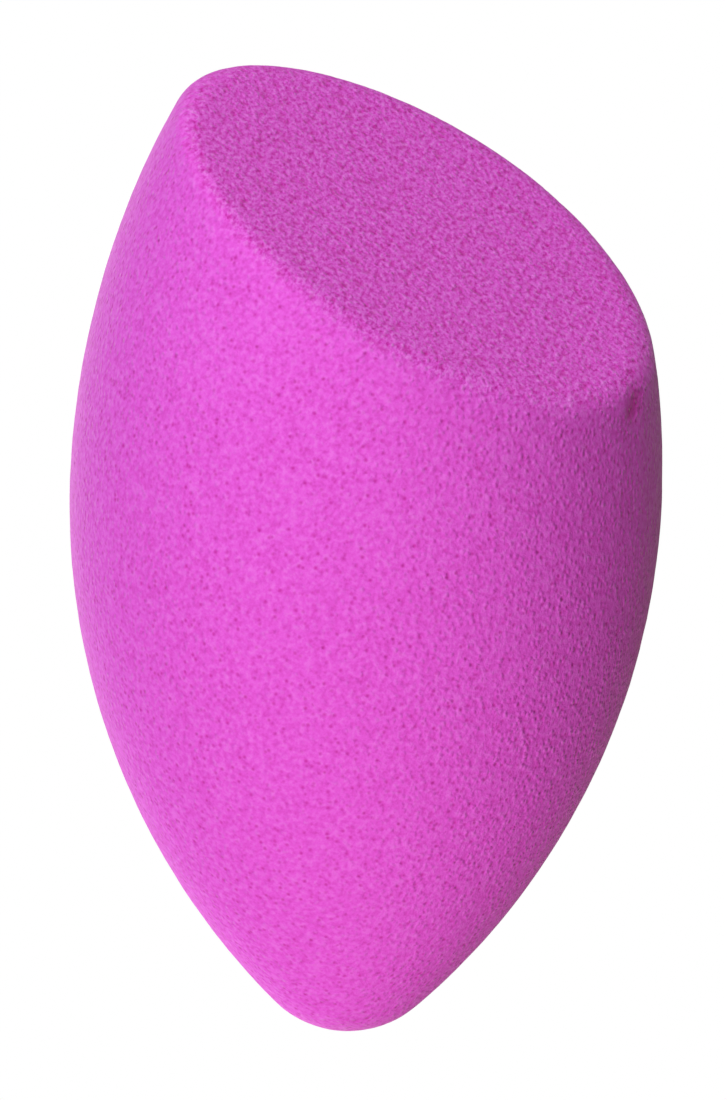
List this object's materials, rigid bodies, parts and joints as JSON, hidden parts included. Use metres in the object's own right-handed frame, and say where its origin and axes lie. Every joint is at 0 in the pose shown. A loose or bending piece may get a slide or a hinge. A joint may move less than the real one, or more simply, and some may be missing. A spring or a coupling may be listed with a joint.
{
  "type": "makeup sponge",
  "caption": "Soft teardrop foam makeup sponge with a blunt tip, full rounded sides and a slanted flat face with a soft rim.",
  "frame": {"origin": "where the sponge's own axis crosses the flat face that it rests on", "axes": "-Z is the outward normal of the flat face, and the tip points up and leans towards -X; the XZ plane is the plane of symmetry"},
  "size_m": [0.0537, 0.042, 0.0507],
  "materials": {
    "open_foam": "matt open-celled foam with coarse pores",
    "skin_foam": "matt fine-celled foam with a velvety sheen and fine pits"
  },
  "bodies": {
    "root": {"foam_core": "open_foam", "moulded_skin": "skin_foam"}
  },
  "joints": []
}
